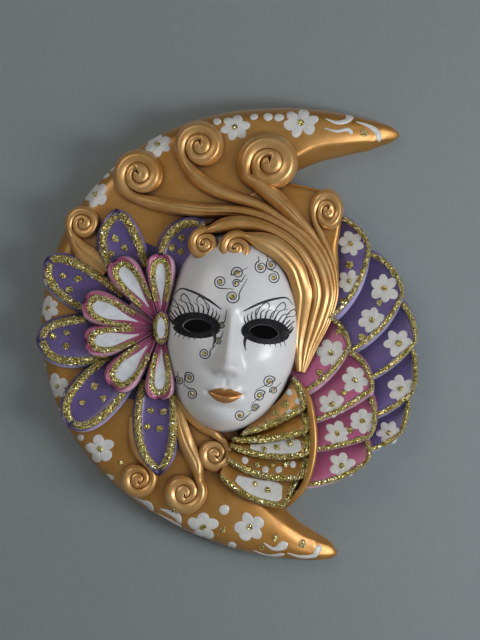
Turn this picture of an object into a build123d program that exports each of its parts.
from build123d import *
import os
from math import atan2, cos, radians, sin

# A half-moon wall mask: a hollow crescent shell with a domed face beside it, dressed with
# separately moulded reliefs (hair locks, a flower and three pleated fans) luted on in layers,
# and a hinged hanging eye behind.  Millimetres.  +Z is up and the front faces -Y.
# The origin is the centre of the hanging eye.  Outlines are (x, z) points seen from the front,
# and a height is a distance forward from the wall that the back rim lies on.

os.makedirs("parts", exist_ok=True)

# ---- driving dimensions ------------------------------------------------------------------
WALL_Y = 3.0                   # the wall plane, behind the centre of the hanging eye
WALL = 4.0                     # thickness of the ceramic shell
MOON_CENTRE = (20.2, -94.3)    # centre of the crescent's outer arc
MOON_STEP = 5.0                # degrees between the crescent's sections

# angle about MOON_CENTRE, outer radius, inner radius, height of the crescent's front
MOON_STATIONS = (
    (55.0, 127.5, 125.0, 6.0),
    (58.0, 127.2, 117.0, 9.0),
    (63.0, 125.8, 106.0, 13.0),
    (70.0, 123.2, 98.0, 16.0),
    (76.0, 120.9, 89.0, 18.0),
    (90.0, 117.4, 73.0, 20.0),
    (110.0, 116.8, 64.0, 20.0),
    (130.0, 116.8, 60.0, 20.0),
    (180.0, 116.8, 55.0, 20.0),
    (205.0, 115.4, 56.0, 20.0),
    (225.0, 113.6, 60.0, 20.0),
    (240.0, 113.0, 65.0, 20.0),
    (256.0, 115.2, 74.0, 19.0),
    (268.0, 119.6, 84.0, 17.0),
    (277.0, 123.6, 96.0, 14.0),
    (283.0, 125.6, 106.0, 10.0),
    (287.5, 126.4, 122.0, 6.0),
)
CAVITY_SPAN = (68.0, 275.0)    # the horns are solid beyond these angles
FACET_END_WIDTH = 46.0         # the horns have a facet inside, gone where the band is this wide
FACET_FADE = 15.0              # the facet is full where the band is this much narrower than that
FACET_SHARE = 0.3              # width of the full facet, as a share of the band's width
FACET_FOOT = 0.5               # height of the facet's lower edge, as a share of the front's height
BEVEL = 9.0                    # width of the bevel along the outer edge ...
BEVEL_SHARE = 0.3              # ... or this share of the band's width, where that is less
BEVEL_FOOT = 0.35              # height of the bevel's lower edge, as a share of the front's height

WEB_TOP = 5.0                  # front of the flat web that carries the face and the fans
WEB_BACK_RADIUS = 66.0         # the web ends under the crescent, at this distance from MOON_CENTRE
WEB_BACK_ANGLES = (250, 180, 95)
WEB_EDGE = ((34, -14), (60, -36), (86, -66), (95, -102), (91, -140), (64, -166), (24, -184))
WEB_OPENING_INSET = 5.0        # the opening behind the face, inside the face's outline
RELIEF_BASE = 20.0             # the reliefs start at the height of the crescent's front

FACE_CENTRE = (4.7, -94.5)
FACE_HALF_WIDTH = 35.7
FACE_HALF_HEIGHT = 54.0        # an egg of about two to three
FACE_SPRING = 18.0             # height at which the upright side wall turns into the dome
FACE_DOME = 30.0
FACE_WALL = 3.5
FACE_TILT = 5.0                # degrees, the forehead leaning to +X
EYE_OFFSET = FACE_HALF_WIDTH / 2    # each eye hole is centred in its own half of the face
EYE_RISE = 1.0                 # the eye line is just above half the head's height
EYE_HALF = (9.0, 4.3)
NOSE_CENTRE = (0.0, -11.0)     # from the face's centre, in the face's own upright frame
NOSE_HALF = (5.5, 9.0, 15.0)
NOSE_SINK = 3.5                # the nose's middle is this far behind the top of the dome

FLOWER_CENTRE = (-31.0, -93.5)
PETAL_THICK = 6.0
# direction in degrees, length, width, sideways bend and fullness of the tip of each petal,
# measured from the flower's centre; a fullness of 1 or more gives a round tip
OUTER_PETALS = (
    (111.5, 67.0, 25.5, 5.0, 0.95),
    (70.0, 61.5, 26.0, 5.0, 0.95),
    (149.2, 71.0, 25.5, 3.3, 1.00),
    (185.4, 66.2, 28.5, 2.4, 1.00),
    (226.1, 71.4, 28.5, -1.2, 1.00),
    (268.8, 76.1, 24.5, -2.6, 0.94),
)
INNER_PETALS = (
    (125.5, 43.0, 17.0, -1.0, 1.03),
    (91.4, 38.6, 15.5, 0.0, 1.03),
    (159.9, 42.9, 18.0, 1.4, 1.03),
    (189.0, 40.6, 17.5, 1.7, 1.03),
    (229.5, 40.0, 18.5, 0.0, 1.03),
    (267.0, 37.0, 16.0, 0.5, 1.03),
)
OUTER_LEAF = (0.52, 0.80)      # fullness of a petal's sides near its root and near its shoulder
INNER_LEAF = (0.30, 0.95)
PETAL_BASE = 0.06              # a petal starts this share of its length from the flower's centre
PETAL_ROOT = 0.35              # where along its length the root's fullness pulls
FLOWER_BUTTON = (4.2, 8.6)     # half width and half height of the raised centre
BUTTON_RISE = 2.0              # how far the centre stands over the inner petals

# Each ridge runs from the inner end, through a middle point, to the outer end.
PURPLE_FAN = dict(
    back=WEB_TOP, front=12.0,
    ridges=(
        ((48.0, -70.0), (58.0, -48.0), (64.6, -33.1)),
        ((52.0, -96.0), (72.0, -77.0), (78.8, -51.5)),
        ((58.0, -112.0), (86.0, -95.5), (96.6, -77.7)),
        ((62.0, -128.0), (87.0, -117.5), (102.9, -102.9)),
        ((62.0, -146.0), (86.0, -140.5), (100.8, -129.7)),
        ((58.0, -160.0), (77.0, -160.5), (94.5, -150.2)),
    ),
    scallops=((74.2, -40.5), (91.6, -60.5), (103.2, -90.3), (104.2, -116.6), (98.6, -140.9)),
)
PINK_FAN = dict(
    back=12.0, front=RELIEF_BASE,
    ridges=(
        ((34.0, -104.0), (51.0, -97.0), (57.2, -86.1)),
        ((36.0, -134.0), (58.0, -119.5), (68.2, -104.0)),
        ((36.0, -147.5), (62.0, -139.0), (80.3, -128.1)),
        ((34.0, -160.5), (60.0, -157.4), (78.2, -152.2)),
        ((30.0, -177.0), (60.0, -174.6), (77.2, -162.8)),
    ),
    scallops=((64.8, -93.3), (78.4, -114.3), (82.5, -140.7), (79.5, -157.6)),
)
GOLD_FAN = dict(
    back=RELIEF_BASE, front=27.0,
    ridges=(
        ((20.0, -138.0), (32.0, -128.5), (37.5, -118.0)),
        ((8.0, -150.5), (28.0, -144.5), (44.4, -136.8)),
        ((4.0, -151.5), (26.0, -152.2), (45.9, -148.1)),
        ((4.0, -155.0), (27.0, -161.8), (45.6, -160.7)),
        ((2.0, -162.5), (23.5, -172.4), (42.0, -172.6)),
        ((-1.6, -171.2), (14.7, -183.8), (32.6, -188.0)),
    ),
    scallops=((42.2, -126.6), (45.5, -142.5), (46.2, -154.5), (44.6, -167.0), (37.0, -180.6)),
)
RIM_WIDTH = 5.0                # plain band round the outside of the gold fan
RIM_RISE = 1.0                 # how far the band stands over the pleats
RIM_POINTS = ((36.8, -119.7), (44.1, -128.6), (46.9, -141.8), (47.5, -154.9), (45.4, -168.0),
              (41.6, -177.5), (33.5, -186.5))

# Each lock: curl centre, curl radius, front height, then its stem from root to curl and the
# stem's width at those points.  A lock earlier in the table lies over the later ones.
LOCKS = {
    "crown_lock": ((24.6, -7.6), 16.2, 31.0,
                   ((51.2, -98.0), (55.4, -88.0), (58.3, -76.1), (58.3, -68.2), (56.7, -61.4),
                    (53.3, -53.6), (48.8, -46.7), (44.6, -41.5), (38.9, -35.7), (33.0, -29.7),
                    (26.3, -23.6), (19.4, -17.9), (13.6, -12.2)),
                   (1.2, 1.6, 2.0, 2.0, 2.2, 2.6, 3.4, 5.0, 6.8, 8.9, 9.8, 9.4, 8.0)),
    "side_lock": ((55.1, -32.3), 9.4, 28.0,
                  ((53.5, -94.0), (57.3, -85.0), (59.9, -76.1), (59.7, -68.2), (58.8, -61.4),
                   (56.2, -53.6), (52.5, -46.2), (49.6, -39.4), (48.4, -34.0)),
                  (1.2, 1.5, 1.8, 1.8, 2.2, 3.0, 4.0, 4.2, 4.0)),
    "right_forelock": ((7.6, -52.4), 9.0, 44.0,
                       ((40.8, -114.0), (40.9, -102.4), (42.0, -90.6), (43.3, -76.1), (41.8, -69.8),
                        (38.9, -62.0), (32.6, -54.6), (26.3, -50.1), (20.0, -47.8), (12.5, -46.6)),
                       (1.6, 3.4, 5.2, 6.8, 7.0, 7.9, 8.9, 9.2, 8.0, 5.0)),
    "left_forelock": ((-8.7, -49.9), 8.6, 41.0,
                      ((42.2, -110.5), (44.0, -101.5), (46.6, -90.6), (49.2, -76.1), (48.1, -68.2),
                       (44.6, -59.9), (39.9, -53.0), (34.1, -47.8), (27.8, -43.8), (21.0, -40.6),
                       (14.7, -39.4), (7.9, -39.3), (0.5, -40.2), (-5.0, -43.0)),
                      (1.4, 2.4, 4.0, 5.0, 5.0, 4.8, 4.9, 5.1, 5.3, 5.6, 6.6, 7.4, 7.0, 4.8)),
    "top_lock": ((-11.5, 1.7), 13.2, 30.0,
                 ((48.3, -101.5), (53.2, -90.0), (57.2, -76.1), (56.2, -68.2), (54.3, -61.4),
                  (50.1, -53.6), (46.2, -48.0), (41.5, -43.3), (35.7, -39.4), (29.9, -35.4),
                  (23.1, -31.0), (15.8, -27.6), (6.0, -24.6), (-4.7, -21.0), (-14.2, -14.2),
                  (-20.4, -6.4)),
                 (1.2, 1.8, 2.4, 2.6, 2.6, 2.9, 3.3, 3.7, 4.2, 4.5, 4.9, 5.4, 6.4, 8.0, 8.4, 7.2)),
    "upper_lock": ((-43.2, -13.5), 13.8, 29.5,
                   ((46.0, -102.4), (50.4, -90.6), (53.9, -76.1), (52.9, -68.2), (50.7, -61.4),
                    (46.7, -54.3), (42.5, -49.4), (37.3, -44.6), (31.0, -40.4), (25.2, -37.2),
                    (17.9, -34.2), (10.5, -32.6), (3.2, -31.9), (-7.9, -32.0), (-19.4, -31.2),
                    (-32.5, -29.4), (-43.0, -25.4)),
                   (2.0, 3.4, 4.5, 4.0, 4.1, 4.4, 4.6, 4.6, 4.5, 4.9, 5.8, 6.0, 6.4, 7.0, 7.6, 7.8,
                    7.0)),
    "left_lock": ((-72.8, -38.7), 9.2, 28.0,
                  ((-62.5, -61.5), (-70.5, -56.5), (-77.0, -49.5), (-79.4, -42.0)),
                  (8.0, 9.5, 8.5, 5.0)),
    "lower_left_lock": ((-43.8, -172.5), 9.8, 28.0,
                        ((-47.5, -146.0), (-46.3, -154.0), (-43.0, -161.5), (-38.2, -168.0)),
                        (3.5, 5.0, 6.5, 5.0)),
    "lower_middle_lock": ((-19.6, -179.4), 11.6, 29.0,
                          ((-22.5, -138.0), (-20.0, -150.0), (-15.5, -162.0), (-10.6, -173.0)),
                          (5.0, 7.4, 8.6, 6.4)),
    "lower_right_lock": ((-3.7, -159.3), 9.9, 28.0,
                         ((-25.0, -124.5), (-17.9, -135.5), (-10.0, -143.9), (-0.9, -151.2)),
                         (6.0, 8.0, 9.0, 6.5)),
}
CURL_BOSS = 0.55               # the raised middle of a curl, as a share of its radius
CURL_BOSS_RISE = 2.0
CURL_BOSS_TAPER = 20           # degrees
HAIR_CAP = ((-2, -36), (16, -18), (40.4, -18.5), (46.5, -19.8), (52.8, -20.8), (58.6, -24.6),
            (61.8, -31.5), (61.8, -39.4), (60.6, -46.0), (61.2, -58.0), (60.6, -76.0), (56.6, -90.0),
            (50.6, -102.0), (43.4, -116.5), (30, -116.5), (20, -94))

# ---- hanging eye ---------------------------------------------------------------------------
EYE_BORE_R = 5.0
EYE_RIM_R = 8.0
EYE_THICK = 1.6
PIVOT_Y = 0.4                  # the pivot is behind the eye's middle, so the eye leans inwards
PIVOT_Z = -11.0
PIVOT_R = 1.2
PIVOT_CLEARANCE = 0.08
PIVOT_LENGTH = 9.6
NECK_WIDTH = 4.0
BARREL_R = 2.1
BARREL_SPAN = (2.3, 5.2)       # each knuckle's start and end, from the middle
STRAP_THICK = 0.8
STRAP_SIZE = (10.4, 7.4)
SCREW_PLACES = ((-2.9, -15.4), (2.9, -15.4))
SCREW_R = 1.1
SCREW_HEAD = (2.0, 0.7)        # radius and height
SCREW_DEPTH = 8.0
BLOCK_WIDTH = 22.0
BLOCK_Z = (-19.0, -6.0)


def wall_plane(height):
    """A drawing plane at a height in front of the wall: local x is +X and local y is +Z."""
    return Plane.XZ.offset(height - WALL_Y)


def finish(piece, name):
    """Keep the piece's largest solid (trimming can leave crumbs), label it and write it."""
    solid = piece.solids().sort_by(SortBy.VOLUME)[-1]
    with BuildPart() as node:
        add(solid)
    node.part.label = name
    export_step(node.part, f"parts/{name}.step")
    return node.part


# ---- the crescent shell --------------------------------------------------------------------
def station(angle):
    """Outer radius, inner radius and height of the crescent at an angle, by interpolation."""
    for low, high in zip(MOON_STATIONS, MOON_STATIONS[1:]):
        if low[0] <= angle <= high[0]:
            share = (angle - low[0]) / (high[0] - low[0])
            return [a + (b - a) * share for a, b in zip(low[1:], high[1:])]
    raise ValueError("angle outside the crescent")


def section_plane(angle):
    """Radial plane through the crescent's axis: local x outwards, local y forward."""
    c, s = cos(radians(angle)), sin(radians(angle))
    origin = (MOON_CENTRE[0], WALL_Y, MOON_CENTRE[1])
    return Plane(origin=origin, x_dir=(c, 0, s), z_dir=(s, 0, -c))


def section_angles(first, last):
    """Evenly spaced angles from first to last, about MOON_STEP apart."""
    count = round((last - first) / MOON_STEP)
    return [first + (last - first) * i / count for i in range(count + 1)]


def section_shape(angle):
    """Outer radius, inner radius, height, outer bevel and inner facet of one section."""
    outer, inner, height = station(angle)
    width = outer - inner
    bevel = min(BEVEL, BEVEL_SHARE * width)
    facet = FACET_SHARE * width * min(1.0, max(0.0, (FACET_END_WIDTH - width) / FACET_FADE))
    return outer, inner, height, bevel, facet


def outer_section(angle):
    """The shell's outside: inner wall, facet, front and bevelled outer edge."""
    outer, inner, height, bevel, facet = section_shape(angle)
    return ((inner, 0), (inner, FACET_FOOT * height), (inner + facet + 0.5, height),
            (outer - bevel, height), (outer, BEVEL_FOOT * height), (outer, 0))


def cavity_section(angle):
    """The shell's hollow, about WALL inside its outside and open to the back."""
    outer, inner, height, bevel, facet = section_shape(angle)
    roof = height - WALL
    return ((inner + WALL, -1.0), (inner + WALL, FACET_FOOT * height - 2), (inner + facet + WALL + 1, roof),
            (outer - bevel - 2.0, roof), (outer - WALL, 0.3 * height), (outer - WALL, -1.0))


def make_moon_shell():
    first, last = MOON_STATIONS[0][0], MOON_STATIONS[-1][0]
    cx, cz = MOON_CENTRE
    with BuildPart() as moon:
        for angle in section_angles(first, last):
            with BuildSketch(section_plane(angle)):
                with BuildLine():
                    Polyline(*outer_section(angle), close=True)
                make_face()
        loft(ruled=True)
        # the web between the horns, which closes the back under the face and the fans
        with BuildSketch(wall_plane(0)):
            with BuildLine():
                left = [(cx + WEB_BACK_RADIUS * cos(radians(a)), cz + WEB_BACK_RADIUS * sin(radians(a)))
                        for a in WEB_BACK_ANGLES]
                edge = Spline(*WEB_EDGE)
                Line(edge @ 1, left[0])
                ThreePointArc(*left)
                Line(left[2], edge @ 0)
            make_face()
        extrude(amount=WEB_TOP)
        for angle in section_angles(*CAVITY_SPAN):
            with BuildSketch(section_plane(angle)):
                with BuildLine():
                    Polyline(*cavity_section(angle), close=True)
                make_face()
        loft(ruled=True, mode=Mode.SUBTRACT)
        # the face's hollow is open to the back
        with BuildSketch(wall_plane(-1)):
            with Locations(FACE_CENTRE):
                Ellipse(FACE_HALF_WIDTH - WEB_OPENING_INSET, FACE_HALF_HEIGHT - WEB_OPENING_INSET,
                        rotation=-FACE_TILT)
        extrude(amount=WEB_TOP + 2, mode=Mode.SUBTRACT)
    return moon.part


# ---- the face ------------------------------------------------------------------------------
def face_place(height):
    """The face's own frame: its centre, at a height, tilted with the head."""
    return Location((FACE_CENTRE[0], WALL_Y - height, FACE_CENTRE[1]), (0, FACE_TILT, 0))


def face_form(inset, back):
    """The filled face form: an upright elliptical wall under half an ellipsoid."""
    half = (FACE_HALF_WIDTH - inset, FACE_DOME - inset, FACE_HALF_HEIGHT - inset)
    dome = face_place(FACE_SPRING) * scale(Sphere(1.0), by=half)
    with BuildPart() as form:
        add(dome)
        split(bisect_by=wall_plane(FACE_SPRING), keep=Keep.TOP)
        with BuildSketch(wall_plane(back)):
            with Locations(FACE_CENTRE):
                Ellipse(half[0], half[2], rotation=-FACE_TILT)
        extrude(amount=FACE_SPRING - back)
    return form.part


def make_face_shell():
    nose = scale(Sphere(1.0), by=NOSE_HALF)
    nose = face_place(FACE_SPRING + FACE_DOME - NOSE_SINK) * Pos(NOSE_CENTRE[0], 0, NOSE_CENTRE[1]) * nose
    outer, inner = face_form(0, WEB_TOP), face_form(FACE_WALL, WEB_TOP - 1)
    tilt = radians(FACE_TILT)
    eyes = []
    for side in (-1, 1):
        x, z = side * EYE_OFFSET, EYE_RISE
        eyes.append((FACE_CENTRE[0] + x * cos(tilt) + z * sin(tilt),
                     FACE_CENTRE[1] - x * sin(tilt) + z * cos(tilt)))
    with BuildPart() as face:
        add(outer)
        add(nose)
        add(inner, mode=Mode.SUBTRACT)
        with BuildSketch(wall_plane(WEB_TOP)):
            with Locations(*eyes):
                Ellipse(*EYE_HALF, rotation=-FACE_TILT)
        extrude(amount=FACE_SPRING + FACE_DOME, mode=Mode.SUBTRACT)
    return face.part


# ---- reliefs -------------------------------------------------------------------------------
def relief(outline, back, front, cutters=()):
    """A flat relief from one closed outline, trimmed by the pieces it lies under or against."""
    with BuildPart() as piece:
        with BuildSketch(wall_plane(back)):
            add(outline)
        extrude(amount=front - back)
        for cutter in cutters:
            add(cutter, mode=Mode.SUBTRACT)
    return piece.part


def petal_outline(petal, leaf):
    """A leaf from the flower's centre: one curve up each side, widest past the middle."""
    direction, length, width, bend, fullness = petal
    root, shoulder = leaf
    c, s = cos(radians(direction)), sin(radians(direction))

    def place(along, across):
        return (FLOWER_CENTRE[0] + along * c - across * s, FLOWER_CENTRE[1] + along * s + across * c)

    base, tip = place(PETAL_BASE * length, 0), place(length, 0)
    lean = bend * 4 / 3     # what a Bezier's two handles need for a bend of that much half way
    with BuildSketch() as leaf_sketch:
        with BuildLine():
            Bezier(base, place(PETAL_ROOT * length, lean + root * width),
                   place(fullness * length, lean + shoulder * width), tip)
            Bezier(tip, place(fullness * length, lean - shoulder * width),
                   place(PETAL_ROOT * length, lean - root * width), base)
        make_face()
    return leaf_sketch.sketch


def ribbon_outline(points, widths, curl_centre, curl_radius):
    """A tapering stem along the points, united with the disc of its curl."""
    left, right = [], []
    for i, (x, z) in enumerate(points):
        before, after = points[max(i - 1, 0)], points[min(i + 1, len(points) - 1)]
        heading = atan2(after[1] - before[1], after[0] - before[0])
        half = widths[i] / 2
        left.append((x - half * sin(heading), z + half * cos(heading)))
        right.append((x + half * sin(heading), z - half * cos(heading)))
    with BuildSketch() as ribbon:
        with BuildLine():
            Spline(*left)
            Line(left[-1], right[-1])
            Spline(*right[::-1])
            Line(right[0], left[0])
        make_face()
        with Locations(curl_centre):
            Circle(curl_radius)
    return ribbon.sketch


def make_lock(spec, cutters):
    """One hair lock: a tapering stem and a two-step curl."""
    centre, radius, front, points, widths = spec
    body = relief(ribbon_outline(points, widths, centre, radius), RELIEF_BASE, front)
    with BuildPart() as lock:
        add(body)
        with BuildSketch(wall_plane(front)):
            with Locations(centre):
                Circle(radius * CURL_BOSS)
        extrude(amount=CURL_BOSS_RISE, taper=CURL_BOSS_TAPER)
        for cutter in cutters:
            add(cutter, mode=Mode.SUBTRACT)
    return lock.part


def pleat_outline(fan, index):
    """One pleat: two ridges, an inner line between them and a scalloped outer edge."""
    near, far = fan["ridges"][index], fan["ridges"][index + 1]
    with BuildSketch() as pleat:
        with BuildLine():
            ThreePointArc(*near)
            ThreePointArc(near[2], fan["scallops"][index], far[2])
            ThreePointArc(far[2], far[1], far[0])
            Line(far[0], near[0])
        make_face()
    return pleat.sketch


def rim_outline():
    """A band along the gold fan's outer scallops."""
    with BuildSketch() as rim:
        with BuildLine() as path:
            Spline(*RIM_POINTS)
        trace(path.line, line_width=RIM_WIDTH)
    return rim.sketch


def make_hair_cap(cutters):
    """The raised ground that the hair on the right of the face lies on."""
    with BuildPart() as cap:
        with BuildSketch(wall_plane(WEB_TOP)):
            with BuildLine():
                Polyline(*HAIR_CAP, close=True)
            make_face()
        extrude(amount=RELIEF_BASE - WEB_TOP)
        for cutter in cutters:
            add(cutter, mode=Mode.SUBTRACT)
    return cap.part


# ---- hanging eye ---------------------------------------------------------------------------
def along_x(y, z, start):
    """A plane facing +X at a height and depth, for round pieces that lie across the mask."""
    return Plane(origin=(start, y, z), x_dir=(0, 1, 0), z_dir=(1, 0, 0))


def strap_faces():
    """The y of the strap's front, against the block, and of its back."""
    front = PIVOT_Y - BARREL_R
    return front, front + STRAP_THICK


def make_hanger_block():
    front, _ = strap_faces()
    low, high = BLOCK_Z
    depth = WALL_Y - front
    with BuildPart() as block:
        with BuildSketch(wall_plane(depth)):
            with Locations((0, (low + high) / 2)):
                RectangleRounded(BLOCK_WIDTH, high - low, 2)
        extrude(amount=RELIEF_BASE - WALL - depth)
        with BuildSketch(wall_plane(depth)):
            with Locations(*SCREW_PLACES):
                Circle(SCREW_R)
        extrude(amount=SCREW_DEPTH, mode=Mode.SUBTRACT)
    return block.part


def make_hanger_strap():
    _, back = strap_faces()
    with BuildPart() as strap:
        with BuildSketch(Plane.XZ.offset(-back)):
            with Locations((0, PIVOT_Z)):
                Rectangle(*STRAP_SIZE, align=(Align.CENTER, Align.MAX))
            with Locations(*SCREW_PLACES):
                Circle(SCREW_R, mode=Mode.SUBTRACT)
        extrude(amount=STRAP_THICK)
        for start in (-BARREL_SPAN[1], BARREL_SPAN[0]):
            with BuildSketch(along_x(PIVOT_Y, PIVOT_Z, start)):
                Circle(BARREL_R)
            extrude(amount=BARREL_SPAN[1] - BARREL_SPAN[0])
        with BuildSketch(along_x(PIVOT_Y, PIVOT_Z, -BARREL_SPAN[1] - 1)):
            Circle(PIVOT_R + PIVOT_CLEARANCE)
        extrude(amount=2 * BARREL_SPAN[1] + 2, mode=Mode.SUBTRACT)
    return strap.part


def make_hanger_ring():
    with BuildPart() as ring:
        with BuildSketch(Plane.XZ.offset(-EYE_THICK / 2)):
            Circle(EYE_RIM_R)
            Rectangle(NECK_WIDTH, -PIVOT_Z, align=(Align.CENTER, Align.MAX))
            Circle(EYE_BORE_R, mode=Mode.SUBTRACT)
        extrude(amount=EYE_THICK)
        with BuildSketch(along_x(PIVOT_Y, PIVOT_Z, -PIVOT_LENGTH / 2)):
            Circle(PIVOT_R)
        extrude(amount=PIVOT_LENGTH)
    return ring.part


def make_hanger_screws():
    _, back = strap_faces()
    head_r, head_height = SCREW_HEAD
    with BuildPart() as screws:
        with BuildSketch(Plane.XZ.offset(-back)):
            with Locations(*SCREW_PLACES):
                Circle(SCREW_R)
        extrude(amount=STRAP_THICK + SCREW_DEPTH - 1)
        with BuildSketch(Plane.XZ.offset(-back - head_height)):
            with Locations(*SCREW_PLACES):
                Circle(head_r)
        extrude(amount=head_height)
    screws.part.label = "hanger_screws"
    export_step(screws.part, "parts/hanger_screws.step")


# ---- assembly ------------------------------------------------------------------------------
moon_shell = finish(make_moon_shell(), "moon_shell")
face_shell = finish(make_face_shell(), "face_shell")
face_solid = face_form(0, 0)
hair_cap = finish(make_hair_cap([moon_shell, face_solid]), "hair_cap")

locks = []
for name, spec in LOCKS.items():
    locks.append(finish(make_lock(spec, [face_solid] + locks), name))

outer_petals = []
for number, petal in enumerate(OUTER_PETALS, start=1):
    outline = petal_outline(petal, OUTER_LEAF)
    top = RELIEF_BASE + PETAL_THICK
    part = relief(outline, RELIEF_BASE, top, [face_solid] + locks + outer_petals)
    outer_petals.append(finish(part, f"outer_petal_{number}"))

inner_petals = []
inner_base = RELIEF_BASE + PETAL_THICK
button_top = inner_base + PETAL_THICK + BUTTON_RISE
with BuildSketch() as button_outline:
    with Locations(FLOWER_CENTRE):
        Ellipse(*FLOWER_BUTTON)
button = relief(button_outline.sketch, inner_base, button_top, [face_solid])
flower_centre = finish(button, "flower_centre")
for number, petal in enumerate(INNER_PETALS, start=1):
    outline = petal_outline(petal, INNER_LEAF)
    top = inner_base + PETAL_THICK
    cutters = [face_solid, flower_centre] + locks + inner_petals
    part = relief(outline, inner_base, top, cutters)
    inner_petals.append(finish(part, f"inner_petal_{number}"))

gold = [face_solid] + locks
rim = relief(rim_outline(), RELIEF_BASE, GOLD_FAN["front"] + RIM_RISE, gold)
fan_rim = finish(rim, "gold_fan_rim")
for fan, title, cutters in (
    (GOLD_FAN, "gold_pleat", gold + [fan_rim]),
    (PINK_FAN, "pink_pleat", [face_solid, hair_cap, moon_shell]),
    (PURPLE_FAN, "purple_pleat", [face_solid, hair_cap, moon_shell]),
):
    for index in range(len(fan["scallops"])):
        part = relief(pleat_outline(fan, index), fan["back"], fan["front"], cutters)
        finish(part, f"{title}_{index + 1}")

finish(make_hanger_block(), "hanger_block")
finish(make_hanger_strap(), "hanger_strap")
finish(make_hanger_ring(), "hanger_ring")
make_hanger_screws()
